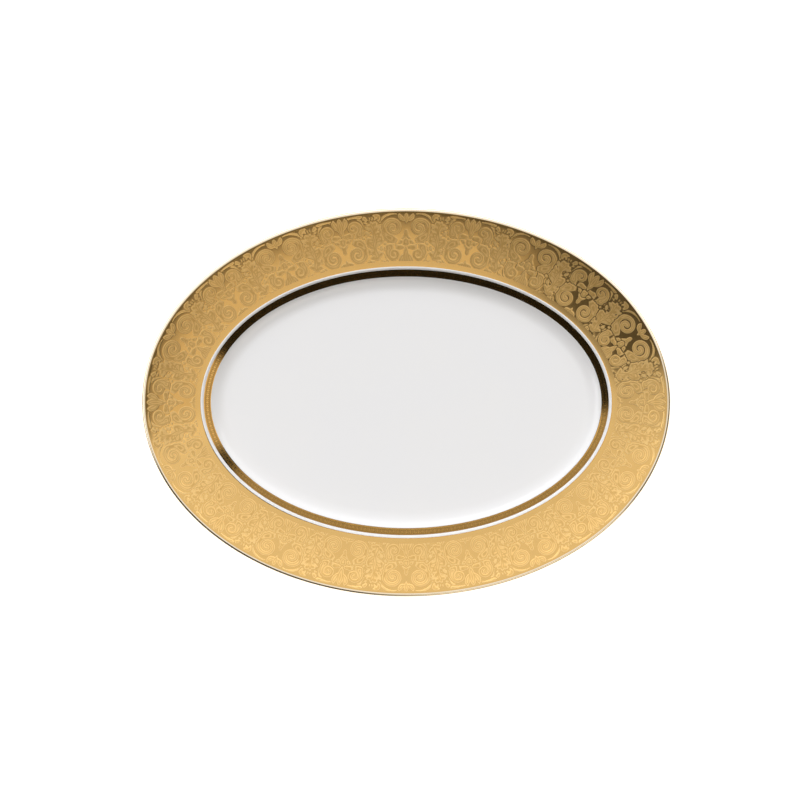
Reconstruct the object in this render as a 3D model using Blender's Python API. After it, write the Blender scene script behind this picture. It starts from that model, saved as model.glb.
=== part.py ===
"""Oval china serving platter: porcelain body, glaze coats and three gold layers.

Metres, +Z up. The origin is under the platter's middle on the surface that it stands on, and +X runs along
its length. One cross-section, walked from the floor of the well out over the lip and back under the rim,
shapes every layer: a layer is that section at some depth below the finished surface, lofted round the oval.
"""

import math
from collections import namedtuple

import bmesh
import bpy

# Overall size
LENGTH = 0.340
WIDTH = 0.250
HEIGHT = 0.0250

# Zones of the face, as widths in plan from the outer edge inward
RIM_BAND_WIDTH = 0.0373
WHITE_LINE_WIDTH = 0.0019
WELL_BAND_WIDTH = 0.0044
COVE_WIDTH = 0.0101

# Rim: it rises outward, a little steeper towards the lip
RIM_SLOPE_INNER = math.radians(10)
RIM_SLOPE_OUTER = math.radians(18)

# Walls
LIP_THICKNESS = 0.0036
WALL_THICKNESS = 0.0045
BASE_THICKNESS = 0.0050

# Foot ring
FOOT_HEIGHT = 0.0030
FOOT_FACE_WIDTH = 0.0022
FOOT_EDGE_ROUND = 0.0008
FOOT_FILLET = 0.0014
HAUNCH_FILLET = 0.0060

# Coats, and the gap that neighbouring solids keep
GLAZE_THICKNESS = 0.0003
GOLD_THICKNESS = 0.00025
FIT_GAP = 0.0003

# Facets
OVAL_SEGMENTS = 64
COVE_STEPS = 4
SHOULDER_STEPS = 2
RIM_STEPS = 4
LIP_TOP_STEPS = 1
LIP_SIDE_STEPS = 3
LIP_UNDER_STEPS = 2
FILLET_STEPS = 2

# Sizes that follow from those
LIP_RADIUS = LIP_THICKNESS / 2
LIP_WIDTH = LIP_RADIUS * (1 + math.sin(RIM_SLOPE_OUTER))
RIM_RUN = RIM_BAND_WIDTH - LIP_WIDTH
FLOOR_HEIGHT = FOOT_HEIGHT + BASE_THICKNESS
FLOOR_INSET = RIM_BAND_WIDTH + WHITE_LINE_WIDTH + WELL_BAND_WIDTH + COVE_WIDTH
FOOT_WIDTH = FOOT_FACE_WIDTH + 2 * FOOT_EDGE_ROUND
GOLD_RECESS = GOLD_THICKNESS + FIT_GAP
BODY_DEPTH = GLAZE_THICKNESS + FIT_GAP
GLAZE_END_HEIGHT = FOOT_EDGE_ROUND + FIT_GAP

# A point of the section: inset from the outer edge, height, and the direction of travel measured from
# outward horizontal. The surface faces 90 degrees to the left of that direction.
Station = namedtuple("Station", "inset z angle")


def moved(station, along, depth=0.0):
    """The station moved along its direction of travel and sunk below its surface."""
    sine, cosine = math.sin(station.angle), math.cos(station.angle)
    return Station(
        station.inset - cosine * along - sine * depth,
        station.z + sine * along - cosine * depth,
        station.angle,
    )


def arc(start, end_angle, radius, steps):
    """Stations along an arc from start. The radius is positive where the surface is convex."""
    turn = end_angle - start.angle
    centre = moved(start, 0, radius)
    return [
        moved(Station(centre.inset, centre.z, start.angle + turn * step / steps), 0, -radius)
        for step in range(steps + 1)
    ]


def slope_to(start, end_angle, run, steps):
    """Stations over a run in plan, straight or bending evenly to end_angle."""
    change = math.sin(start.angle) - math.sin(end_angle)
    if abs(change) < 1e-9:
        return [moved(start, run / math.cos(start.angle) * step / steps) for step in range(steps + 1)]
    return arc(start, end_angle, run / change, steps)


def well_wall_slope():
    """Slope of the well wall that brings the lip's crest to HEIGHT."""
    rim_rise = RIM_RUN * math.tan((RIM_SLOPE_INNER + RIM_SLOPE_OUTER) / 2)
    lip_rise = LIP_RADIUS * (1 - math.cos(RIM_SLOPE_OUTER))
    wanted = HEIGHT - FLOOR_HEIGHT - rim_rise - lip_rise
    low, high = 0.0, math.radians(85)
    for _ in range(60):
        slope = (low + high) / 2
        rise = COVE_WIDTH * math.tan(slope / 2) + WELL_BAND_WIDTH * math.tan(slope)
        rise += WHITE_LINE_WIDTH * math.tan((slope + RIM_SLOPE_INNER) / 2)
        low, high = (slope, high) if rise < wanted else (low, slope)
    return slope


def crossing(first, second):
    """Where the straight lines through two stations cross, travelling on in the second's direction."""
    gap_inset, gap_z = second.inset - first.inset, second.z - first.z
    across = gap_inset * math.sin(second.angle) + gap_z * math.cos(second.angle)
    corner = moved(first, -across / math.sin(second.angle - first.angle))
    return Station(corner.inset, corner.z, second.angle)


def fillet(corner, angle_before, radius, steps):
    """An arc that rounds a concave corner, from angle_before to the corner's own angle."""
    reach = radius * math.tan((corner.angle - angle_before) / 2)
    start = moved(Station(corner.inset, corner.z, angle_before), -reach)
    return arc(start, corner.angle, -radius, steps)


def rounded_lip(start):
    """Stations over the crest, round the outermost point and back under, parallel to the rim."""
    top = arc(start, 0.0, LIP_RADIUS, LIP_TOP_STEPS)
    side = arc(top[-1], -math.pi / 2, LIP_RADIUS, LIP_SIDE_STEPS)
    under = arc(side[-1], RIM_SLOPE_OUTER - math.pi, LIP_RADIUS, LIP_UNDER_STEPS)
    return top + side[1:] + under[1:]


def underside(lip_end, rim_start, wall_start):
    """Stations from the lip in to the foot ring, where they turn straight down."""
    rim_under = moved(rim_start, 0, WALL_THICKNESS)._replace(angle=rim_start.angle - math.pi)
    wall_under = moved(wall_start, 0, WALL_THICKNESS)._replace(angle=wall_start.angle - math.pi)
    haunch = fillet(crossing(rim_under, wall_under), rim_under.angle, HAUNCH_FILLET, FILLET_STEPS)
    foot_inset = wall_under.inset + (wall_under.z - FOOT_HEIGHT) / math.tan(wall_start.angle)
    foot_corner = Station(foot_inset, FOOT_HEIGHT, -math.pi / 2)
    return [lip_end] + haunch + fillet(foot_corner, wall_under.angle, FOOT_FILLET, FILLET_STEPS)


def section():
    """The finished surface as named zones, each a list of stations that starts where the last one ended."""
    wall_slope = well_wall_slope()
    cove = slope_to(Station(FLOOR_INSET, FLOOR_HEIGHT, 0.0), wall_slope, COVE_WIDTH, COVE_STEPS)
    wall = slope_to(cove[-1], wall_slope, WELL_BAND_WIDTH, 1)
    shoulder = slope_to(wall[-1], RIM_SLOPE_INNER, WHITE_LINE_WIDTH, SHOULDER_STEPS)
    rim = slope_to(shoulder[-1], RIM_SLOPE_OUTER, RIM_RUN, RIM_STEPS)
    lip = rounded_lip(rim[-1])
    under = underside(lip[-1], rim[0], wall[0])
    foot = [under[-1], under[-1]._replace(z=GLAZE_END_HEIGHT)]
    zones = {"cove": cove, "wall": wall, "shoulder": shoulder, "rim": rim}
    return zones | {"lip": lip, "under": under, "foot": foot}


GOLD_ZONES = ("wall", "rim", "lip")


def sunk_section(zones, depth, widen):
    """The section sunk by depth, and by GOLD_RECESS more under gold. Each step down stands `widen` outside
    the gold, so that a deeper layer keeps its thickness round it."""
    names = list(zones)
    points = []
    for place, name in enumerate(names):
        stations = list(zones[name])
        gold = name in GOLD_ZONES
        if place and gold != (names[place - 1] in GOLD_ZONES):
            stations[0] = moved(stations[0], -widen if gold else widen)
        if place + 1 < len(names) and gold != (names[place + 1] in GOLD_ZONES):
            stations[-1] = moved(stations[-1], widen if gold else -widen)
        sunk = [moved(station, 0, depth + GOLD_RECESS * gold) for station in stations]
        points += [(station.inset, station.z) for station in sunk]
    return distinct(points)


def distinct(points):
    """The points with repeats of the one before dropped."""
    kept = points[:1]
    for point in points[1:]:
        if math.dist(point, kept[-1]) > 1e-6:
            kept.append(point)
    return kept


def gold_section(stations, start_margin, end_margin):
    """Closed section of a gold layer, flush with the finished surface and clear of its neighbours."""
    trimmed = [moved(stations[0], start_margin)] + stations[1:-1] + [moved(stations[-1], -end_margin)]
    outer = [(station.inset, station.z) for station in trimmed]
    sunk = [moved(station, 0, GOLD_THICKNESS) for station in reversed(trimmed)]
    return outer + [(station.inset, station.z) for station in sunk]


def oval_ring(mesh, inset, z):
    """Vertices of one oval of the loft, whose half-axes are `inset` inside the outer edge."""
    half_length, half_width = LENGTH / 2 - inset, WIDTH / 2 - inset
    turns = [math.tau * step / OVAL_SEGMENTS for step in range(OVAL_SEGMENTS)]
    return [mesh.verts.new((half_length * math.cos(turn), half_width * math.sin(turn), z)) for turn in turns]


def bridge(mesh, ring, following):
    """Quads between neighbouring ovals."""
    for step in range(OVAL_SEGMENTS):
        ahead = (step + 1) % OVAL_SEGMENTS
        mesh.faces.new((ring[step], following[step], following[ahead], ring[ahead]))


def oval_loft(name, points, closed, material, collection):
    """An object lofted round the oval: a ring from a closed section, or capped flat at an open one's ends."""
    mesh = bmesh.new()
    rings = [oval_ring(mesh, inset, z) for inset, z in points]
    for ring, following in zip(rings, rings[1:]):
        bridge(mesh, ring, following)
    if closed:
        bridge(mesh, rings[-1], rings[0])
    else:
        mesh.faces.new(rings[0])
        mesh.faces.new(reversed(rings[-1]))
    bmesh.ops.recalc_face_normals(mesh, faces=mesh.faces)
    data = bpy.data.meshes.new(name)
    mesh.to_mesh(data)
    mesh.free()
    data.shade_smooth()
    data.set_sharp_from_angle(angle=math.radians(35))
    data.materials.append(material)
    piece = bpy.data.objects.new(name, data)
    collection.objects.link(piece)
    return piece


def make_material(name, colour, roughness, metallic):
    material = bpy.data.materials.new(name)
    material.use_nodes = True
    shader = material.node_tree.nodes["Principled BSDF"]
    shader.inputs["Base Color"].default_value = (*colour, 1.0)
    shader.inputs["Roughness"].default_value = roughness
    shader.inputs["Metallic"].default_value = metallic
    return material


def foot_section(foot_inset):
    """The bare foot ring, from the outer glaze's end round the bearing face to the inner glaze's end."""
    outer = [
        (foot_inset + BODY_DEPTH, FOOT_EDGE_ROUND),
        (foot_inset, FOOT_EDGE_ROUND),
        (foot_inset + FOOT_EDGE_ROUND, 0.0),
    ]
    return outer + [(2 * foot_inset + FOOT_WIDTH - inset, z) for inset, z in reversed(outer)]


def build_body(zones, collection):
    outside = sunk_section(zones, BODY_DEPTH, BODY_DEPTH)[:-1]
    foot = foot_section(zones["foot"][0].inset)
    base = [(foot[-1][0], FOOT_HEIGHT + BODY_DEPTH)]
    material = make_material("biscuit_porcelain", (0.86, 0.84, 0.80), 0.55, 0.0)
    oval_loft("porcelain_body", outside + foot + base, False, material, collection)


def build_glazes(zones, collection):
    material = make_material("white_glaze", (0.91, 0.91, 0.90), 0.08, 0.0)
    outer = sunk_section(zones, 0.0, 0.0)
    inner = sunk_section(zones, GLAZE_THICKNESS, GLAZE_THICKNESS)
    oval_loft("face_glaze", outer + inner[::-1], False, material, collection)

    inner_side = zones["foot"][0].inset + FOOT_WIDTH
    base = [
        (inner_side - GLAZE_THICKNESS, FOOT_HEIGHT + GLAZE_THICKNESS),
        (inner_side - GLAZE_THICKNESS, GLAZE_END_HEIGHT),
        (inner_side, GLAZE_END_HEIGHT),
        (inner_side, FOOT_HEIGHT),
    ]
    oval_loft("base_glaze", base, False, material, collection)


def build_gold(zones, collection):
    etched = make_material("etched_gold", (0.78, 0.56, 0.27), 0.32, 1.0)
    burnished = make_material("burnished_gold", (0.80, 0.58, 0.28), 0.15, 1.0)
    oval_loft("well_gold_band", gold_section(zones["wall"], FIT_GAP, FIT_GAP), True, burnished, collection)
    oval_loft("rim_gold_band", gold_section(zones["rim"], FIT_GAP, FIT_GAP / 2), True, etched, collection)
    oval_loft("lip_gold_line", gold_section(zones["lip"], FIT_GAP / 2, FIT_GAP), True, burnished, collection)


def main():
    for leftover in list(bpy.data.objects):
        bpy.data.objects.remove(leftover, do_unlink=True)
    collection = bpy.data.collections.new("china_serving_platter")
    bpy.context.scene.collection.children.link(collection)
    zones = section()
    build_body(zones, collection)
    build_glazes(zones, collection)
    build_gold(zones, collection)


main()
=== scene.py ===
"""Looks of the oval china serving platter: white glaze, etched gold rim, gold lip and patterned well band.

Every surface is lofted round the oval from one cross-section, in metres and in the CAD model's frame. It is
the CAD model's cross-section, with a slight bead and valley added at the white line. The ornament is a field
of signed distances to its motifs, in millimetres: it raises the relief of the meshes, and the gold's nodes
read it back to tell burnished ground from matte motif.
"""

import math
from collections import namedtuple

import bpy
import numpy as np
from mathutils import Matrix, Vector


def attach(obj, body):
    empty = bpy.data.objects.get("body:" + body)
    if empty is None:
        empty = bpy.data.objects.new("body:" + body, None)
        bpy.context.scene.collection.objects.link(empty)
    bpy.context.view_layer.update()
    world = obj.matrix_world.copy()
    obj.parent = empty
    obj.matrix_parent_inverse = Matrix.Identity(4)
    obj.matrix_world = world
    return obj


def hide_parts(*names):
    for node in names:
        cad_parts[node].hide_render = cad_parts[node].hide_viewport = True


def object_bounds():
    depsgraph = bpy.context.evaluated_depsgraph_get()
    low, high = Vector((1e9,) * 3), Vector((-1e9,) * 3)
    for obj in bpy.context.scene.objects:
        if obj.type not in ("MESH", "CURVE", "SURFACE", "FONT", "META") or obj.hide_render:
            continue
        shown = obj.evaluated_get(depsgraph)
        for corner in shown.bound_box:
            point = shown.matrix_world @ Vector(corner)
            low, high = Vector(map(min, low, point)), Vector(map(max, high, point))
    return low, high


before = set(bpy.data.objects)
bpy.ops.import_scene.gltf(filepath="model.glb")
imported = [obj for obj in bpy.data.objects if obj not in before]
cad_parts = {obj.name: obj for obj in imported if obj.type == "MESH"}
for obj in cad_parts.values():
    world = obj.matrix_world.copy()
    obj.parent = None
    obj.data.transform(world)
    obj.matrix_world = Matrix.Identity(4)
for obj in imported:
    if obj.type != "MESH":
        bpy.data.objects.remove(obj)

CAD_BOX = [list(corner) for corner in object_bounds()]
MM = 0.001

# Overall size, from the frame
HALF_LENGTH = CAD_BOX[1][0]
HALF_WIDTH = CAD_BOX[1][1]
HEIGHT = CAD_BOX[1][2]

# The CAD model's cross-section: plan widths from the outer edge inward, slopes and thicknesses
RIM_BAND_WIDTH = 0.0373
WHITE_LINE_WIDTH = 0.0019
WELL_BAND_WIDTH = 0.0044
COVE_WIDTH = 0.0101
RIM_SLOPE_INNER = math.radians(10)
RIM_SLOPE_OUTER = math.radians(18)
LIP_THICKNESS = 0.0036
WALL_THICKNESS = 0.0045
BASE_THICKNESS = 0.0050
FOOT_HEIGHT = 0.0030
FOOT_FACE_WIDTH = 0.0022
FOOT_EDGE_ROUND = 0.0008
FOOT_FILLET = 0.0014
HAUNCH_FILLET = 0.0060
LIP_RADIUS = LIP_THICKNESS / 2
LIP_WIDTH = LIP_RADIUS * (1 + math.sin(RIM_SLOPE_OUTER))
RIM_RUN = RIM_BAND_WIDTH - LIP_WIDTH
FLOOR_HEIGHT = FOOT_HEIGHT + BASE_THICKNESS
FLOOR_INSET = RIM_BAND_WIDTH + WHITE_LINE_WIDTH + WELL_BAND_WIDTH + COVE_WIDTH
FOOT_WIDTH = FOOT_FACE_WIDTH + 2 * FOOT_EDGE_ROUND

# Bead under the white line and valley in the gold beside it: mm outward from the well band, mm of lift
VERGE = ((0.0, 0.0), (1.3, 0.30), (3.2, -0.12), (7.0, 0.0))

# Coats: the gold lies in a recess of the glaze, and the glaze on the porcelain
GOLD_FILM = 0.00013
GLAZE_RECESS = 0.00014
GLAZE_THICKNESS = 0.0003
BISCUIT_GAP = 0.0001
GLAZE_END_HEIGHT = 0.0011
BASE_FILLET = 0.0010
GILDED_ZONES = ("wall", "rim", "lip")
COAT_COLUMNS = 720
LIP_COLUMNS = 960
OUTLINE_STEPS = 7200
LANE_GUTTER = 0.006  # share of the flat map left empty beside each lane
# Where a surface is hidden, only every so many of its stations are kept
COAT_THINNING = 12
RECESS_THINNING = 6
BACK_THINNING = {"rim": 24, "wall": 8, "lip": 3}
SHARP_EDGE = math.radians(60)
LANES = 8
RIM_LANES = 2

# Ornament of the rim, in mm unless it says otherwise: a cell runs from one cluster's axis to the next one's
RIM_CELLS = 20
CELL_COLUMNS = 132
RIM_ROWS = 118
CELL_LENGTH = 40.6
CELL_HEIGHT = 33.0
MOTIF_GAP = 0.55
MOTIF_REACH = 8  # a motif nearer to an axis than this has its mirror image there too
TURN_POINTS = 44  # points of a scroll per turn
STEM_POINTS = 30
STEM_PULL = 0.55  # a stem's handles, as a share of its span
RING_POINTS = 36
RELIEF_EDGE = 0.22
LINE_PITCH = 1.05
LINE_TONE = 0.75  # how far the etched lines darken, from 0 to 1
OUTER_MARGIN = 1.2 * MM
INNER_MARGIN = 0.6 * MM
MARGIN_EDGE = 0.3 * MM
RELIEF = 0.022 * MM
LINE_DEPTH = 0.03 * MM

# Ornament of the well band, in mm
LOZENGES = 256
LOZENGE_COLUMNS = 10
LOZENGE_PITCH = 2.6
LOZENGE_HALF_LENGTH = 0.85
LOZENGE_HALF_WIDTH = 1.25
LOZENGE_SCALE = 0.7  # about how far a lozenge's sides are from its middle
BAR_HALF_WIDTH = 0.16
GROOVE_PLACE = 1.85
GROOVE_HALF_WIDTH = 0.14
WELL_BAND_ROWS = 26
WELL_RELIEF = 0.02 * MM
WELL_RELIEF_EDGE = 0.25

# Finishes, as linear colours
GOLD_DARK = (0.60, 0.35, 0.10, 1.0)
GOLD_DEEP = (0.82, 0.50, 0.165, 1.0)
GOLD_MIDDLE = (0.87, 0.565, 0.21, 1.0)
GOLD_PALE = (0.90, 0.605, 0.25, 1.0)
# The lip's two golds are paler than the rest: partly thin, worn gold, mostly a painted highlight for the
# lip's cream glint
LIP_PAINTED_HIGHLIGHT_DEEP = (0.87, 0.70, 0.46, 1.0)
LIP_PAINTED_HIGHLIGHT_PALE = (0.94, 0.83, 0.66, 1.0)
GROUND_ROUGHNESS = 0.11
MOTIF_ROUGHNESS = 0.36
GLAZE_COOL = (0.83, 0.83, 0.835, 1.0)
GLAZE_WARM = (0.845, 0.84, 0.83, 1.0)
GLAZE_IOR = 1.52
BISCUIT_DARK = (0.66, 0.62, 0.54, 1.0)
BISCUIT_PALE = (0.78, 0.75, 0.69, 1.0)
FLOOR_DARK = (0.93, 0.93, 0.93, 1.0)
FLOOR_PALE = (0.96, 0.96, 0.96, 1.0)

# Depths of the finest unevenness, which is only bump
RUB_DEPTH = 0.002 * MM
PEEL_DEPTH = 0.006 * MM
BISCUIT_GRAIN_DEPTH = 0.06 * MM
PAPER_TOOTH_DEPTH = 0.05 * MM

# Studio. Angles are in degrees, azimuths counted from +X towards +Y. A lamp with no half_height is round.
# The shell's values are its lower and upper elevation, and its brightness at each.
Lamp = namedtuple("Lamp", "azimuth elevation half_width half_height edge strength colour")
NEUTRAL = (1.0, 1.01, 1.04)
WARM = (1.0, 0.92, 0.80)
SHELL_COLOUR = (1.0, 0.98, 0.94)
SHELL = (8.0, 50.0, 0.01, 0.1)
LAMPS = (
    Lamp(0, 90, 15, 0, 5, 1.0, NEUTRAL),  # overhead
    Lamp(90, 62, 75, 12, 10, 0.8, NEUTRAL),  # large diffuser over the far side
    Lamp(180, 62, 15, 12, 10, 0.6, NEUTRAL),  # its falling-off end
    Lamp(-45, 68, 65, 6, 10, 0.7, WARM),  # high fill over the near side
    Lamp(110, 38, 90, 10, 10, 2.5, NEUTRAL),  # key, a wide bank on the far side
    Lamp(100, 24, 70, 4, 6, 3.0, NEUTRAL),  # its lower edge
    Lamp(-65, 40, 25, 12, 10, 1.5, WARM),  # weaker bank on the near side
    Lamp(110, 11, 65, 8, 6, 0.4, WARM),  # low glow from the far side
    Lamp(0, 11, 30, 8, 6, 0.8, WARM),  # low strip to the right
    Lamp(0, -90, 80, 0, 8, 0.7, NEUTRAL),  # from below, hidden by the floor
)
BACKDROP = (0.97, 0.97, 0.97, 1.0)
FLOOR_SIZE = 8.0
FLOOR_DROP = 0.0002
FLOOR_GLOW = 0.6
SENSOR = 36.0
CAMERA_DISTANCE = 1.6
CAMERA_TILT = math.radians(0.0)
FRAME_WIDTH = 0.5135  # metres across the picture, at the height of the rim
FRAME_CENTRE = (-0.0040, 0.0015)

Station = namedtuple("Station", "inset z angle")


# ---------------------------------------------------------------- cross-section


def moved(station, along, depth=0.0):
    """The station moved along its direction of travel and sunk below its surface."""
    sine, cosine = math.sin(station.angle), math.cos(station.angle)
    return Station(
        station.inset - cosine * along - sine * depth,
        station.z + sine * along - cosine * depth,
        station.angle,
    )


def arc(start, end_angle, radius, steps):
    """Stations along an arc from start. The radius is positive where the surface is convex."""
    turn = end_angle - start.angle
    centre = moved(start, 0, radius)
    return [
        moved(Station(centre.inset, centre.z, start.angle + turn * step / steps), 0, -radius)
        for step in range(steps + 1)
    ]


def slope_to(start, end_angle, run, steps):
    """Stations over a run in plan, straight or bending evenly to end_angle."""
    change = math.sin(start.angle) - math.sin(end_angle)
    if abs(change) < 1e-9:
        return [moved(start, run / math.cos(start.angle) * step / steps) for step in range(steps + 1)]
    return arc(start, end_angle, run / change, steps)


def well_wall_slope():
    """Slope of the well wall that brings the lip's crest to HEIGHT."""
    rim_rise = RIM_RUN * math.tan((RIM_SLOPE_INNER + RIM_SLOPE_OUTER) / 2)
    lip_rise = LIP_RADIUS * (1 - math.cos(RIM_SLOPE_OUTER))
    wanted = HEIGHT - FLOOR_HEIGHT - rim_rise - lip_rise
    low, high = 0.0, math.radians(85)
    for _ in range(60):
        slope = (low + high) / 2
        rise = COVE_WIDTH * math.tan(slope / 2) + WELL_BAND_WIDTH * math.tan(slope)
        rise += WHITE_LINE_WIDTH * math.tan((slope + RIM_SLOPE_INNER) / 2)
        low, high = (slope, high) if rise < wanted else (low, slope)
    return slope


def crossing(first, second):
    """Where the straight lines through two stations cross, travelling on in the second's direction."""
    gap_inset, gap_z = second.inset - first.inset, second.z - first.z
    across = gap_inset * math.sin(second.angle) + gap_z * math.cos(second.angle)
    corner = moved(first, -across / math.sin(second.angle - first.angle))
    return Station(corner.inset, corner.z, second.angle)


def fillet(corner, angle_before, radius, steps):
    """An arc that rounds a concave corner, from angle_before to the corner's own angle."""
    reach = radius * math.tan((corner.angle - angle_before) / 2)
    start = moved(Station(corner.inset, corner.z, angle_before), -reach)
    return arc(start, corner.angle, -radius, steps)


def underside(lip_end, rim_start, wall_start):
    """Stations from the lip in to the foot ring, where they turn straight down."""
    rim_under = moved(rim_start, 0, WALL_THICKNESS)._replace(angle=rim_start.angle - math.pi)
    wall_under = moved(wall_start, 0, WALL_THICKNESS)._replace(angle=wall_start.angle - math.pi)
    haunch = fillet(crossing(rim_under, wall_under), rim_under.angle, HAUNCH_FILLET, steps=12)
    foot_inset = wall_under.inset + (wall_under.z - FOOT_HEIGHT) / math.tan(wall_start.angle)
    foot_corner = Station(foot_inset, FOOT_HEIGHT, -math.pi / 2)
    return [lip_end] + haunch + fillet(foot_corner, wall_under.angle, FOOT_FILLET, steps=8)


def section():
    """The finished surface as named zones, each a list of stations that starts where the last one ended."""
    wall_slope = well_wall_slope()
    cove = slope_to(Station(FLOOR_INSET, FLOOR_HEIGHT, 0.0), wall_slope, COVE_WIDTH, steps=20)
    wall = slope_to(cove[-1], wall_slope, WELL_BAND_WIDTH, steps=WELL_BAND_ROWS)
    shoulder = slope_to(wall[-1], RIM_SLOPE_INNER, WHITE_LINE_WIDTH, steps=12)
    rim = slope_to(shoulder[-1], RIM_SLOPE_OUTER, RIM_RUN, steps=RIM_ROWS)
    lip = arc(rim[-1], RIM_SLOPE_OUTER - math.pi, LIP_RADIUS, steps=30)
    under = underside(lip[-1], rim[0], wall[0])
    foot = [under[-1], under[-1]._replace(z=GLAZE_END_HEIGHT)]
    zones = {"cove": cove, "wall": wall, "shoulder": shoulder, "rim": rim}
    return zones | {"lip": lip, "under": under, "foot": foot}


def arc_lengths(stations):
    steps = [math.dist(a[:2], b[:2]) for a, b in zip(stations, stations[1:])]
    return np.concatenate([[0], np.cumsum(steps)])


def smooth_step(values):
    clipped = np.clip(values, 0, 1)
    return clipped * clipped * (3 - 2 * clipped)


def with_verge(zones):
    """The zones with a bead raised under the white line and a shallow valley in the gold beside it."""
    start = 0.0
    for name in ("shoulder", "rim"):
        lengths = arc_lengths(zones[name])
        lifts = np.zeros(len(lengths))
        for (near, low), (far, high) in zip(VERGE, VERGE[1:]):
            share = ((start + lengths) / MM - near) / (far - near)
            lifts += smooth_step(share) * (high - low)
        zones[name] = [moved(station, 0, -lift * MM) for station, lift in zip(zones[name], lifts)]
        start += lengths[-1]
    return zones


ZONES = with_verge(section())
FOOT_INSET = ZONES["foot"][0].inset


# ---------------------------------------------------------------- the oval


def oval_points(stations, turns):
    """Points of every station at every turn, as rows x turns x 3. A turn's points lie on one line across the
    rim, square to the outer edge."""
    outer_x, outer_y = HALF_LENGTH * np.cos(turns), HALF_WIDTH * np.sin(turns)
    normal = np.stack([HALF_WIDTH * np.cos(turns), HALF_LENGTH * np.sin(turns)])
    normal /= np.hypot(*normal)
    rows = []
    for station in stations:
        a, b = HALF_LENGTH - station.inset, HALF_WIDTH - station.inset
        square = (normal[0] / a) ** 2 + (normal[1] / b) ** 2
        middle = outer_x * normal[0] / a**2 + outer_y * normal[1] / b**2
        rest = (outer_x / a) ** 2 + (outer_y / b) ** 2 - 1
        along = (middle - np.sqrt(middle**2 - square * rest)) / square
        rows.append(np.stack([outer_x - along * normal[0], outer_y - along * normal[1],
                              np.full_like(turns, station.z)], -1))
    return np.array(rows)


def even_turns(count, inset):
    """Angles of count columns round the oval, evenly spaced along its outline at that inset."""
    fine = np.linspace(0, 2 * np.pi, OUTLINE_STEPS + 1)
    outline = oval_points([Station(inset, 0.0, 0.0)], fine)[0]
    length = np.concatenate([[0], np.cumsum(np.hypot(*np.diff(outline[:, :2], axis=0).T))])
    return np.interp(np.linspace(0, length[-1], count + 1)[:-1], length, fine)


def grid_faces(rows, columns, closed_rows, closed_columns):
    """Corner numbers of the quads of a grid of points, facing left of travel along its rows."""
    row = np.arange(rows if closed_rows else rows - 1)
    column = np.arange(columns if closed_columns else columns - 1)
    r, c = np.meshgrid(row, column, indexing="ij")
    r_next, c_next = (r + 1) % rows, (c + 1) % columns
    corners = [r * columns + c, r_next * columns + c, r_next * columns + c_next, r * columns + c_next]
    return np.stack(corners, -1).reshape(-1, 4)


def lane_map(rows, columns, lanes):
    """A flat map of a grid of quads, cut into lanes so that a long strip fills the square."""
    r, c = np.meshgrid(np.arange(rows), np.arange(columns), indexing="ij")
    per_lane = math.ceil(columns / lanes)
    lane = c // per_lane
    across = np.stack([r, r + 1, r + 1, r], -1) / rows
    along = np.stack([c, c, c + 1, c + 1], -1) - (lane * per_lane)[..., None]
    u = LANE_GUTTER + (1 - 2 * LANE_GUTTER) * along / per_lane
    v = (lane[..., None] + LANE_GUTTER * lanes + (1 - 2 * LANE_GUTTER * lanes) * across) / lanes
    return np.stack([u, v], -1)


def mesh_object(name, grid, closed_rows, closed_columns, lanes=0, fields=None, caps=False):
    """A smooth object from rows x columns of points. Caps close its first and last rows with flat faces, and
    fields are named values at its points."""
    rows, columns = grid.shape[:2]
    quads = grid_faces(rows, columns, closed_rows, closed_columns)
    corners = [quads.ravel()]
    sizes = [4] * len(quads)
    if caps:
        corners += [np.arange(columns), (rows * columns - 1) - np.arange(columns)]
        sizes += [columns, columns]
    starts = np.concatenate([[0], np.cumsum(sizes)[:-1]])
    corners = np.concatenate(corners)

    mesh = bpy.data.meshes.new(name)
    mesh.vertices.add(rows * columns)
    mesh.vertices.foreach_set("co", grid.astype(np.float32).ravel())
    mesh.loops.add(len(corners))
    mesh.loops.foreach_set("vertex_index", corners.astype(np.int32))
    mesh.polygons.add(len(sizes))
    mesh.polygons.foreach_set("loop_start", starts.astype(np.int32))
    mesh.update(calc_edges=True)
    mesh.shade_smooth()
    mesh.set_sharp_from_angle(angle=SHARP_EDGE)
    if lanes:
        layout = lane_map(rows - (not closed_rows), columns - (not closed_columns), lanes)
        mesh.uv_layers.new(name="OFBake").data.foreach_set("uv", layout.astype(np.float32).ravel())
    for field, values in (fields or {}).items():
        attribute = mesh.attributes.new(field, "FLOAT", "POINT")
        attribute.data.foreach_set("value", values.astype(np.float32).ravel())
    piece = bpy.data.objects.new(name, mesh)
    bpy.context.scene.collection.objects.link(piece)
    return piece


# ---------------------------------------------------------------- ornament


def bezier(points, count):
    t = np.linspace(0, 1, count)[:, None]
    a, b, c, d = (np.asarray(point, float) for point in points)
    return (1 - t) ** 3 * a + 3 * (1 - t) ** 2 * t * b + 3 * (1 - t) * t**2 * c + t**3 * d


def share_along(path):
    """How far along its length each point of a path is, from 0 to 1."""
    length = np.concatenate([[0], np.cumsum(np.hypot(*np.diff(path, axis=0).T))])
    return length / length[-1]


def swell(path, widths):
    """Half-width at each point of a path, through values evenly spaced along it."""
    return np.interp(share_along(path), np.linspace(0, 1, len(widths)), widths)


def frilled(path, width, teeth, depth, side, start, end):
    """A stroke with leaf teeth on one side between two shares of its length. Its other side stays put."""
    place = np.clip((share_along(path) - start) / (end - start), 0, 1)
    bump = depth * (place * teeth % 1.0) ** 0.8 * np.sin(np.pi * place) ** 0.5
    ahead = np.gradient(path, axis=0)
    ahead /= np.hypot(*ahead.T)[:, None]
    left = np.stack([-ahead[:, 1], ahead[:, 0]], 1) * side
    return path + left * bump[:, None] / 2, width + bump / 2


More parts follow.
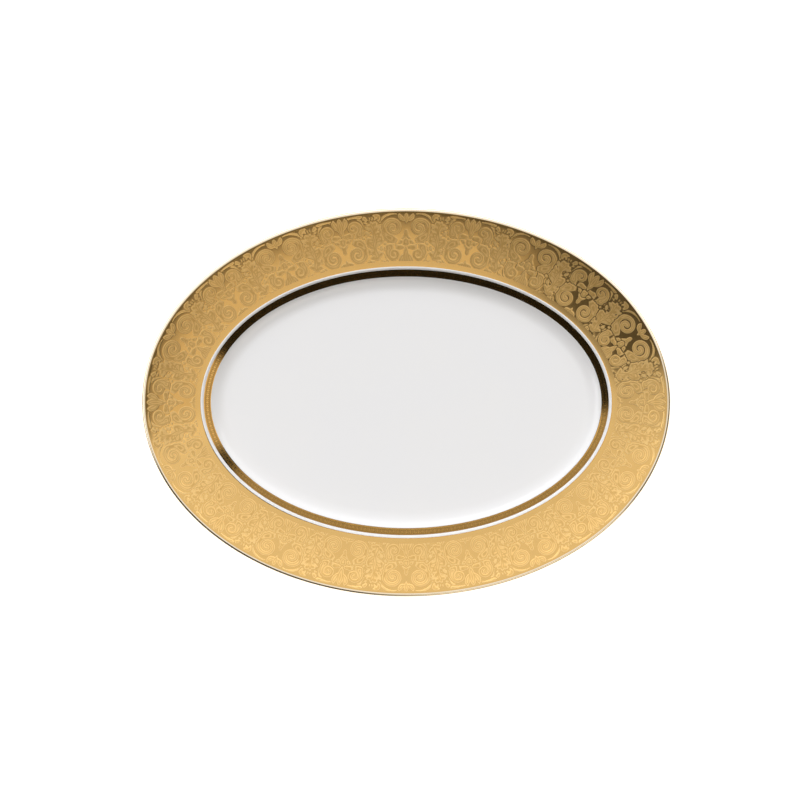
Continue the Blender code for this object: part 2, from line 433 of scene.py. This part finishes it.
def scroll(root, leaves_at, eye, radius, entry, hand, turns, widths, core=0.3, frill=None):
    """A stem from root that winds into a spiral round its eye. Angles are in degrees; hand is 1 for
    anticlockwise; core is the spiral's last radius as a share of its first."""
    root, eye = np.array(root, float), np.array(eye, float)
    share = np.linspace(0, 1, int(TURN_POINTS * turns))
    angle = math.radians(entry) + hand * 2 * np.pi * turns * share
    reach = radius * (1 - (1 - core) * share)
    spiral = eye + np.stack([reach * np.cos(angle), reach * np.sin(angle)], 1)
    tangent = spiral[1] - spiral[0]
    tangent /= np.hypot(*tangent)
    pull = STEM_PULL * np.hypot(*(spiral[0] - root))
    outward = np.array([math.cos(math.radians(leaves_at)), math.sin(math.radians(leaves_at))])
    stem = bezier([root, root + outward * pull, spiral[0] - tangent * pull, spiral[0]], STEM_POINTS)
    path = np.concatenate([stem[:-1], spiral])
    width = swell(path, widths)
    if frill:
        path, width = frilled(path, width, **frill)
    return [(path, width)]


def petal(root, tip, width, bend=0.0, count=24):
    """A pointed leaf that bows to its left by a share of its length."""
    root, tip = np.array(root, float), np.array(tip, float)
    ahead = tip - root
    side = np.array([-ahead[1], ahead[0]]) * bend
    path = bezier([root, root + 0.35 * ahead + side, root + 0.75 * ahead + side, tip], count)
    share = np.linspace(0, 1, count)
    return path, width * np.sin(np.pi * (0.04 + 0.93 * share**1.2)) ** 0.8


def frond(points, lobes, reach, width, lean):
    """An acanthus spray: a midrib with pointed lobes on both sides, longest in its middle."""
    count = 60
    midrib = bezier(points, count)
    ahead = np.gradient(midrib, axis=0)
    bearing = np.arctan2(ahead[:, 1], ahead[:, 0])
    strokes = [(midrib, swell(midrib, [0.8, width, width, width * 0.8, 0.4]))]
    for lobe in range(lobes):
        share = (lobe + 0.6) / (lobes + 0.6)
        place = int(share * (count - 1))
        size = reach * (0.41 + 0.68 * math.sin(math.pi * min(1, 0.1 + 0.92 * share)))
        for side in (1, -1):
            angle = bearing[place] + side * math.radians(lean)
            tip = midrib[place] + size * np.array([math.cos(angle), math.sin(angle)])
            path, swelling = petal(midrib[place], tip, size * 0.3, side * 0.25, 12)
            strokes.append((path, swelling + 0.2))
    return strokes


def ring(eye, radius, start, end, width):
    """A thin curved stem round an eye, between two angles in degrees."""
    angle = np.radians(np.linspace(start, end, RING_POINTS))
    path = np.array(eye) + radius * np.stack([np.cos(angle), np.sin(angle)], 1)
    return [(path, swell(path, [0.2, width, width, width, 0.2]))]


def mirrored(motif, at):
    return [(np.stack([2 * at - path[:, 0], path[:, 1]], 1), width) for path, width in motif]


def turned_over(motif):
    """The motif as it stands in the neighbouring cluster, which is this one turned over."""
    return [(np.array([CELL_LENGTH, CELL_HEIGHT]) - path, width) for path, width in motif]


def cluster():
    """The motifs of one cluster, right of its axis: two ringed scrolls, a crown, and leaves that fill in."""
    large_eye, small_eye = (8.2, 9.2), (8.1, 25.4)
    large = scroll(
        root=(1.7, 21.4), leaves_at=-5, eye=large_eye, radius=6.5, entry=72, hand=-1, turns=1.5,
        widths=[1.0, 2.1, 2.4, 1.7, 1.4, 1.35, 1.3, 1.3, 1.6], core=0.12,
        frill={"teeth": 8, "depth": 1.6, "side": 1, "start": 0.03, "end": 0.40},
    )
    small = scroll(
        root=(3.0, 17.6), leaves_at=40, eye=small_eye, radius=4.4, entry=-52, hand=1, turns=1.35,
        widths=[1.0, 1.9, 1.7, 1.1, 1.0, 1.0, 1.25], core=0.15,
        frill={"teeth": 6, "depth": 1.3, "side": -1, "start": 0.05, "end": 0.42},
    )
    tendril = scroll(
        root=(12.6, 16.9), leaves_at=80, eye=(15.8, 21.6), radius=2.6, entry=-80, hand=1, turns=1.35,
        widths=[0.7, 1.5, 1.3, 1.0, 0.9], core=0.2,
    )
    comma = scroll(
        root=(21.0, 0.9), leaves_at=170, eye=(18.1, 3.1), radius=1.5, entry=200, hand=-1, turns=0.7,
        widths=[0.7, 1.3, 1.2], core=0.5,
    )
    boss = [(np.array([[0.0, 17.2], [0.0, 18.8]]), np.array([1.9, 1.9]))]
    crown = [petal((0, 20.3), (0, 32.9), 2.0)]
    drop = [petal((0, 15.2), (0, 10.4), 1.3)]
    foot = [petal((0, 6.2), (0, 0.2), 1.4)]
    for side in (1, -1):
        crown.append(petal((0, 25.0), (side * 3.4, 32.7), 1.6, -side * 0.2))
        drop.append(petal((0, 10.6), (side * 2.9, 16.2), 1.05, side * 0.25))
        foot.append(petal((0, 4.4), (side * 4.2, 0.4), 1.4, side * 0.25))
    leaf = [petal((4.6, 32.3), (14.4, 32.3), 1.05, -0.03)]
    bud = [petal((15.4, 25.2), (15.2, 32.2), 2.0, -0.1), petal((16.4, 26.4), (20.2, 31.8), 1.3, 0.1)]
    rings = [ring(large_eye, radius=9.0, start=-106, end=34, width=0.65),
             ring(small_eye, radius=6.3, start=-30, end=112, width=0.6)]
    return [large, small, tendril, comma, boss, crown, drop, foot, leaf, bud, *rings]


def motifs_of_cell():
    """Every motif that reaches into one cell, mirror images across its two axes included."""
    own = [form for motif in cluster() for form in (motif, turned_over(motif))]
    midrib = [(24.9, 0.6), (15.6, 10.5), (25.0, 22.5), (15.7, 32.4)]
    own.append(frond(midrib, lobes=9, reach=6.4, width=1.8, lean=46))
    every = list(own)
    for motif in own:
        across = np.concatenate([path[:, 0] for path, _ in motif])
        for axis in (0.0, CELL_LENGTH):
            symmetric = np.allclose(np.sort(2 * axis - across), np.sort(across))
            if not symmetric and np.abs(across - axis).min() < MOTIF_REACH:
                every.append(mirrored(motif, axis))
    return every


def stroke_distance(points, path, width):
    """Signed distance to a stroke of varying half-width, negative inside."""
    nearest = np.full(len(points), 1e9)
    for start, end, wide, wide_end in zip(path[:-1], path[1:], width[:-1], width[1:]):
        step = end - start
        length = step @ step
        if length < 1e-9:
            continue
        away = points - start
        share = np.clip(away @ step / length, 0, 1)
        distance = np.hypot(away[:, 0] - share * step[0], away[:, 1] - share * step[1])
        np.minimum(nearest, distance - wide - share * (wide_end - wide), out=nearest)
    return nearest


def rim_field():
    """Signed distance to the ornament at the points of one cell of the rim, rows x columns. Where two motifs
    would meet, a gap of ground runs between them."""
    across = np.linspace(0, CELL_LENGTH, CELL_COLUMNS + 1)
    rise = arc_lengths(ZONES["rim"])
    up = (rise - INNER_MARGIN) / (rise[-1] - OUTER_MARGIN - INNER_MARGIN) * CELL_HEIGHT
    points = np.stack(np.meshgrid(across, up), -1).reshape(-1, 2)
    distances = [np.min([stroke_distance(points, *stroke) for stroke in motif], axis=0)
                 for motif in motifs_of_cell()]
    nearest = np.partition(np.array(distances), 1, axis=0)
    field = np.maximum(nearest[0], MOTIF_GAP / 2 - (nearest[1] - nearest[0]) / 2)
    return field.reshape(len(up), -1)


def raised(field, edge):
    """Height of the relief, from 0 on the ground to 1 on a motif, over a soft edge of that width in mm."""
    return smooth_step(0.5 - field / edge / 2)


# ---------------------------------------------------------------- pieces


def sunk(stations, depth):
    return [moved(station, 0, depth) for station in stations]


def thinned(stations, step):
    """Every step-th station, and the last."""
    return stations[:-1:step] + stations[-1:]


def distinct(stations):
    """The stations with repeats of the one before dropped."""
    kept = stations[:1]
    for station in stations[1:]:
        if math.dist(station[:2], kept[-1][:2]) > 1e-6:
            kept.append(station)
    return kept


def dress(piece, node, material):
    """Gives the piece its material, hangs it under the root body and hides the CAD node that it stands for.
    """
    piece.data.materials.append(material)
    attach(piece, "root")
    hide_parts(node)


def build_rim(material):
    """The etched band of the rim, in four quarters so that no mesh is too heavy to use."""
    cell = rim_field()
    pair = np.concatenate([cell[:, :-1], cell[:, :0:-1]], axis=1)
    field = np.tile(pair, (1, RIM_CELLS // 2))
    stations = ZONES["rim"]
    turns = even_turns(field.shape[1], RIM_BAND_WIDTH / 2)
    rise = arc_lengths(stations)
    plain = np.maximum(
        smooth_step((INNER_MARGIN - rise) / MARGIN_EDGE + 0.5),
        smooth_step((rise - rise[-1] + OUTER_MARGIN) / MARGIN_EDGE + 0.5),
    )
    plain = np.repeat(plain[:, None], field.shape[1], axis=1)
    height = np.maximum(raised(field, RELIEF_EDGE), plain)[..., None]
    ground = oval_points(sunk(stations, RELIEF), turns)
    top = ground + (oval_points(stations, turns) - ground) * height
    back = oval_points(sunk(thinned(stations, BACK_THINNING["rim"])[::-1], GOLD_FILM), turns)
    grid = np.concatenate([top, back])
    hidden = np.zeros((len(back), len(turns)))
    fields = {"ornament": np.concatenate([field, hidden]), "margin": np.concatenate([plain, hidden + 1])}
    quarter = len(turns) // 4
    for number, place in enumerate(("right_far", "left_far", "left_near", "right_near")):
        columns = np.arange(number * quarter, (number + 1) * quarter + 1) % len(turns)
        own = {name: values[:, columns] for name, values in fields.items()}
        piece = mesh_object(f"etched_rim_{place}", grid[:, columns], True, False, RIM_LANES, own)
        dress(piece, "rim_gold_band", material)


def build_well_band(material):
    """The narrow band on the wall of the well: lozenges and bars between two grooved margins."""
    stations = ZONES["wall"]
    count = LOZENGES * LOZENGE_COLUMNS
    turns = even_turns(count, RIM_BAND_WIDTH + WHITE_LINE_WIDTH)
    rise = arc_lengths(stations) / MM
    from_middle = np.abs(rise - rise[-1] / 2)[:, None]
    share = np.arange(count) % LOZENGE_COLUMNS / LOZENGE_COLUMNS
    from_lozenge = np.minimum(share, 1 - share)[None, :] * LOZENGE_PITCH
    lozenge = (from_lozenge / LOZENGE_HALF_LENGTH + from_middle / LOZENGE_HALF_WIDTH - 1) * LOZENGE_SCALE
    bar = np.maximum(LOZENGE_PITCH / 2 - from_lozenge - BAR_HALF_WIDTH, from_middle - LOZENGE_HALF_WIDTH)
    margin = np.abs(from_middle - GROOVE_PLACE) * -1 + GROOVE_HALF_WIDTH
    margin = np.where(from_middle < GROOVE_PLACE, 1.0, margin)
    field = np.minimum(np.minimum(lozenge, bar), margin)
    ground = oval_points(sunk(stations, WELL_RELIEF), turns)
    top = ground + (oval_points(stations, turns) - ground) * raised(field, WELL_RELIEF_EDGE)[..., None]
    back = oval_points(sunk(thinned(stations, BACK_THINNING["wall"])[::-1], GOLD_FILM), turns)
    fields = {"ornament": np.concatenate([field, np.zeros((len(back), count))])}
    piece = mesh_object("patterned_well_band", np.concatenate([top, back]), True, True, LANES, fields)
    dress(piece, "well_gold_band", material)


def build_lip(material):
    stations = ZONES["lip"]
    back = sunk(thinned(stations, BACK_THINNING["lip"])[::-1], GOLD_FILM)
    turns = even_turns(LIP_COLUMNS, 0.0)
    piece = mesh_object("burnished_lip", oval_points(stations + back, turns), True, True, LANES)
    dress(piece, "lip_gold_line", material)


def build_face_glaze(material):
    """The glaze of the face, the back of the rim and the outside of the foot ring, as one closed coat."""
    outer = []
    for name, stations in ZONES.items():
        gilded = name in GILDED_ZONES
        outer += sunk(thinned(stations, RECESS_THINNING), GLAZE_RECESS) if gilded else stations
    inner = [station for stations in ZONES.values() for station in thinned(stations, COAT_THINNING)]
    inner = sunk(inner, GLAZE_RECESS + GLAZE_THICKNESS)[::-1]
    grid = oval_points(distinct(outer + inner), even_turns(COAT_COLUMNS, 0.0))
    piece = mesh_object("glazed_face", grid, False, True, caps=True)
    dress(piece, "face_glaze", material)


def build_base_glaze(material):
    """The glaze inside the foot ring and under the well."""
    corner = Station(FOOT_INSET + FOOT_WIDTH, FOOT_HEIGHT, math.pi)
    start = Station(corner.inset, GLAZE_END_HEIGHT, math.pi / 2)
    outer = [start] + fillet(corner, math.pi / 2, BASE_FILLET, steps=8)
    inner = sunk(outer, GLAZE_THICKNESS)[::-1]
    grid = oval_points(inner + outer, even_turns(COAT_COLUMNS, 0.0))
    piece = mesh_object("glazed_base", grid, False, True, caps=True)
    dress(piece, "base_glaze", material)


def build_body(material):
    """The porcelain under the glaze, bare only where the foot ring bears."""
    depth = GLAZE_RECESS + GLAZE_THICKNESS + BISCUIT_GAP
    outside = [station for stations in ZONES.values() for station in thinned(stations, COAT_THINNING)]
    outside = distinct(sunk(outside, depth))
    edge_start = Station(FOOT_INSET, FOOT_EDGE_ROUND, -math.pi / 2)
    outer_edge = arc(edge_start, -math.pi, FOOT_EDGE_ROUND, steps=6)
    inner_edge = [Station(2 * FOOT_INSET + FOOT_WIDTH - station.inset, station.z, 0.0)
                  for station in reversed(outer_edge)]
    foot = [outer_edge[0]._replace(z=GLAZE_END_HEIGHT)] + outer_edge + inner_edge
    foot.append(inner_edge[-1]._replace(z=GLAZE_END_HEIGHT))
    base = [Station(foot[-1].inset - depth, GLAZE_END_HEIGHT, 0.0),
            Station(foot[-1].inset - depth, FOOT_HEIGHT + depth, 0.0)]
    grid = oval_points(distinct(outside + foot + base), even_turns(COAT_COLUMNS, 0.0))
    piece = mesh_object("biscuit_body", grid, False, True, caps=True)
    dress(piece, "porcelain_body", material)


# ---------------------------------------------------------------- materials


def add(tree, kind, sockets=None, **settings):
    """A new node. Each socket takes a plain value or another node's output."""
    node = tree.nodes.new(kind)
    for name, value in settings.items():
        setattr(node, name, value)
    for name, value in (sockets or {}).items():
        if isinstance(value, bpy.types.NodeSocket):
            tree.links.new(value, node.inputs[name])
        else:
            node.inputs[name].default_value = value
    return node


def calc(tree, operation, *values):
    """The output of a Math node."""
    sockets = dict(enumerate(values))
    return add(tree, "ShaderNodeMath", sockets, operation=operation).outputs[0]


def ramp(tree, value, low, high, at_low=0.0, at_high=1.0):
    """A smooth step of value from low to high."""
    sockets = {"Value": value, "From Min": low, "From Max": high, "To Min": at_low, "To Max": at_high}
    return add(tree, "ShaderNodeMapRange", sockets, interpolation_type="SMOOTHSTEP").outputs[0]


def noise(tree, place, size, detail=2.0, stretch=None):
    """Noise whose features are about size metres across."""
    if stretch:
        place = add(tree, "ShaderNodeMapping", {"Vector": place, "Scale": stretch}).outputs[0]
    sockets = {"Vector": place, "Scale": 1 / size, "Detail": detail}
    return add(tree, "ShaderNodeTexNoise", sockets).outputs["Fac"]


def blend(tree, share, first, second):
    """A colour between two, by share."""
    sockets = {"Factor": share, 6: first, 7: second}
    return add(tree, "ShaderNodeMix", sockets, data_type="RGBA").outputs[2]


def bump(tree, height, depth):
    """A normal from a height between 0 and 1 that stands for depth metres."""
    sockets = {"Height": height, "Distance": depth, "Strength": 1.0}
    return add(tree, "ShaderNodeBump", sockets).outputs[0]


def new_material(name, metallic):
    material = bpy.data.materials.new(name)
    material.use_nodes = True
    tree = material.node_tree
    shader = tree.nodes["Principled BSDF"]
    shader.inputs["Metallic"].default_value = metallic
    return material, tree, shader


def connect(tree, shader, colour, roughness, normal):
    tree.links.new(colour, shader.inputs["Base Color"])
    tree.links.new(roughness, shader.inputs["Roughness"])
    tree.links.new(normal, shader.inputs["Normal"])


def etched_gold():
    """Matte, finely lined motifs on glossy ground, from the ornament's distance field."""
    material, tree, shader = new_material("etched_gold", 1.0)
    place = add(tree, "ShaderNodeTexCoord").outputs["Object"]
    field = add(tree, "ShaderNodeAttribute", attribute_name="ornament").outputs["Fac"]
    margin = add(tree, "ShaderNodeAttribute", attribute_name="margin").outputs["Fac"]
    motif = calc(tree, "MULTIPLY", ramp(tree, field, 0.10, -0.14), calc(tree, "SUBTRACT", 1.0, margin))
    wave = calc(tree, "SINE", calc(tree, "MULTIPLY", field, 2 * math.pi / LINE_PITCH))
    grain = noise(tree, place, 0.00016)
    patches = noise(tree, place, 0.012, 3.0)

    tone = calc(tree, "MULTIPLY_ADD", patches, 0.5, calc(tree, "MULTIPLY", grain, 0.35))
    ground = blend(tree, tone, GOLD_DEEP, GOLD_MIDDLE)
    matte = blend(tree, tone, GOLD_MIDDLE, GOLD_PALE)
    rough_ground = calc(tree, "MULTIPLY_ADD", patches, 0.06, GROUND_ROUGHNESS - 0.03)
    rough_motif = calc(tree, "MULTIPLY_ADD", grain, 0.12, MOTIF_ROUGHNESS - 0.06)
    roughness = add(tree, "ShaderNodeMix", {"Factor": motif, 2: rough_ground, 3: rough_motif}).outputs[0]
    lines = calc(tree, "MULTIPLY", calc(tree, "MULTIPLY_ADD", wave, 0.5, 0.5), motif)
    matte = blend(tree, calc(tree, "MULTIPLY", lines, LINE_TONE), matte, GOLD_DARK)
    relief = calc(tree, "MULTIPLY_ADD", grain, calc(tree, "MULTIPLY_ADD", motif, 0.45, 0.06), lines)
    connect(tree, shader, blend(tree, motif, ground, matte), roughness, bump(tree, relief, LINE_DEPTH))
    return material


def burnished_gold(name, deep, pale, attribute=None):
    """Polished gold with the fine rub marks of handling. Where the attribute is negative it is raised."""
    material, tree, shader = new_material(name, 1.0)
    place = add(tree, "ShaderNodeTexCoord").outputs["Object"]
    patches = noise(tree, place, 0.009, 3.0)
    rubs = noise(tree, place, 0.0004, 1.0, (1.0, 0.12, 1.0))
    tone = calc(tree, "MULTIPLY_ADD", patches, 0.6, calc(tree, "MULTIPLY", rubs, 0.3))
    colour = blend(tree, tone, deep, pale)
    roughness = calc(tree, "MULTIPLY_ADD", rubs, 0.05, calc(tree, "MULTIPLY_ADD", patches, 0.05, 0.04))
    if attribute:
        field = add(tree, "ShaderNodeAttribute", attribute_name=attribute).outputs["Fac"]
        motif = ramp(tree, field, 0.08, -0.08)
        colour = blend(tree, motif, GOLD_DARK, colour)
        roughness = calc(tree, "MULTIPLY_ADD", calc(tree, "SUBTRACT", 1.0, motif), 0.08, roughness)
    connect(tree, shader, colour, roughness, bump(tree, rubs, RUB_DEPTH))
    return material


def white_glaze():
    """Glossy white glaze: faint orange-peel waviness and a little tint where it pools."""
    material, tree, shader = new_material("white_glaze", 0.0)
    place = add(tree, "ShaderNodeTexCoord").outputs["Object"]
    pools = noise(tree, place, 0.035, 2.0)
    peel = noise(tree, place, 0.006, 2.0)
    colour = blend(tree, pools, GLAZE_COOL, GLAZE_WARM)
    roughness = calc(tree, "MULTIPLY_ADD", peel, 0.03, 0.045)
    connect(tree, shader, colour, roughness, bump(tree, peel, PEEL_DEPTH))
    shader.inputs["IOR"].default_value = GLAZE_IOR
    return material


def biscuit():
    """Bare fired porcelain: matte, with a fine sandy grain."""
    material, tree, shader = new_material("biscuit_porcelain", 0.0)
    place = add(tree, "ShaderNodeTexCoord").outputs["Object"]
    grain = noise(tree, place, 0.00025, 4.0)
    stains = noise(tree, place, 0.01, 3.0)
    colour = blend(tree, stains, BISCUIT_DARK, BISCUIT_PALE)
    roughness = calc(tree, "MULTIPLY_ADD", grain, 0.2, 0.62)
    connect(tree, shader, colour, roughness, bump(tree, grain, BISCUIT_GRAIN_DEPTH))
    return material


def studio_floor():
    """A pale sweep, lit to near white, with a faint paper tooth."""
    material, tree, shader = new_material("pale_floor", 0.0)
    place = add(tree, "ShaderNodeTexCoord").outputs["Object"]
    tooth = noise(tree, place, 0.002, 2.0)
    colour = blend(tree, tooth, FLOOR_DARK, FLOOR_PALE)
    roughness = calc(tree, "MULTIPLY_ADD", tooth, 0.1, 0.8)
    connect(tree, shader, colour, roughness, bump(tree, tooth, PAPER_TOOTH_DEPTH))
    shader.inputs["Emission Color"].default_value = (1.0, 1.0, 1.0, 1.0)
    shader.inputs["Emission Strength"].default_value = FLOOR_GLOW
    return material


# ---------------------------------------------------------------- studio


def heading(azimuth, elevation):
    """Unit vector of a direction in degrees, counted from +X towards +Y and up."""
    a, e = math.radians(azimuth), math.radians(elevation)
    return (math.cos(e) * math.cos(a), math.cos(e) * math.sin(a), math.sin(e))


def dot(tree, first, second):
    sockets = {0: first, 1: second}
    return add(tree, "ShaderNodeVectorMath", sockets, operation="DOT_PRODUCT").outputs["Value"]


def degrees(tree, angle):
    return calc(tree, "MULTIPLY", angle, 180 / math.pi)


def round_lamp(tree, direction, lamp):
    """How much a round softbox covers a direction, from 0 to 1."""
    away = degrees(tree, calc(tree, "ARCCOSINE", dot(tree, direction, heading(lamp.azimuth, lamp.elevation))))
    return ramp(tree, away, lamp.half_width + lamp.edge, lamp.half_width - lamp.edge)


def panel_lamp(tree, direction, lamp):
    """How much a rectangular softbox, or a strip, covers a direction, from 0 to 1."""
    ahead = dot(tree, direction, heading(lamp.azimuth, 0))
    aside = dot(tree, direction, heading(lamp.azimuth + 90, 0))
    turn = calc(tree, "ABSOLUTE", degrees(tree, calc(tree, "ARCTAN2", aside, ahead)))
    up = degrees(tree, calc(tree, "ARCSINE", dot(tree, direction, (0.0, 0.0, 1.0))))
    rise = calc(tree, "ABSOLUTE", calc(tree, "SUBTRACT", up, lamp.elevation))
    across = ramp(tree, turn, lamp.half_width + lamp.edge, lamp.half_width - lamp.edge)
    upward = ramp(tree, rise, lamp.half_height + lamp.edge / 2, lamp.half_height - lamp.edge / 2)
    return calc(tree, "MULTIPLY", across, upward)


def build_studio_light():
    """A dim studio shell with softboxes in it. The camera itself sees a pale backdrop."""
    world = bpy.data.worlds.new("studio")
    bpy.context.scene.world = world
    world.use_nodes = True
    tree = world.node_tree
    direction = add(tree, "ShaderNodeTexCoord").outputs["Generated"]
    up = degrees(tree, calc(tree, "ARCSINE", dot(tree, direction, (0.0, 0.0, 1.0))))
    shell = ramp(tree, up, *SHELL)
    light = add(tree, "ShaderNodeVectorMath", {0: SHELL_COLOUR, "Scale": shell}, operation="SCALE").outputs[0]
    for lamp in LAMPS:
        shape = panel_lamp if lamp.half_height else round_lamp
        share = calc(tree, "MULTIPLY", shape(tree, direction, lamp), lamp.strength)
        sockets = {0: lamp.colour, "Scale": share}
        glow = add(tree, "ShaderNodeVectorMath", sockets, operation="SCALE").outputs[0]
        light = add(tree, "ShaderNodeVectorMath", {0: light, 1: glow}).outputs[0]
    light = add(tree, "ShaderNodeVectorMath", {0: light, 1: (0.0, 0.0, 0.0)}, operation="MAXIMUM").outputs[0]
    seen = add(tree, "ShaderNodeLightPath").outputs["Is Camera Ray"]
    backdrop = blend(tree, seen, light, BACKDROP)
    tree.links.new(backdrop, tree.nodes["Background"].inputs["Color"])


def build_floor():
    mesh = bpy.data.meshes.new("floor")
    half = FLOOR_SIZE / 2
    corners = [(-half, -half, 0.0), (half, -half, 0.0), (half, half, 0.0), (-half, half, 0.0)]
    mesh.from_pydata(corners, [], [(0, 1, 2, 3)])
    mesh.materials.append(studio_floor())
    floor = bpy.data.objects.new("floor", mesh)
    floor.location.z = -FLOOR_DROP
    bpy.context.scene.collection.objects.link(floor)


def build_camera():
    """Looks straight down on the platter, framing it as it lies on the table."""
    data = bpy.data.cameras.new("camera")
    data.sensor_width = SENSOR
    data.lens = SENSOR * CAMERA_DISTANCE / FRAME_WIDTH
    camera = bpy.data.objects.new("camera", data)
    aim = Vector((*FRAME_CENTRE, HEIGHT))
    back = Vector((0.0, -math.sin(CAMERA_TILT), math.cos(CAMERA_TILT)))
    camera.location = aim + back * CAMERA_DISTANCE
    camera.rotation_euler = (CAMERA_TILT, 0.0, 0.0)
    bpy.context.scene.collection.objects.link(camera)
    bpy.context.scene.camera = camera
    bpy.context.scene.view_settings.view_transform = "Standard"


def main():
    etched = etched_gold()
    build_rim(etched)
    build_well_band(burnished_gold("patterned_gold", GOLD_DEEP, GOLD_MIDDLE, "ornament"))
    # The lip's pale gold is mostly a painted highlight
    build_lip(burnished_gold("burnished_gold", LIP_PAINTED_HIGHLIGHT_DEEP, LIP_PAINTED_HIGHLIGHT_PALE))
    glaze = white_glaze()
    build_face_glaze(glaze)
    build_base_glaze(glaze)
    build_body(biscuit())
    build_studio_light()
    build_floor()
    build_camera()


main()
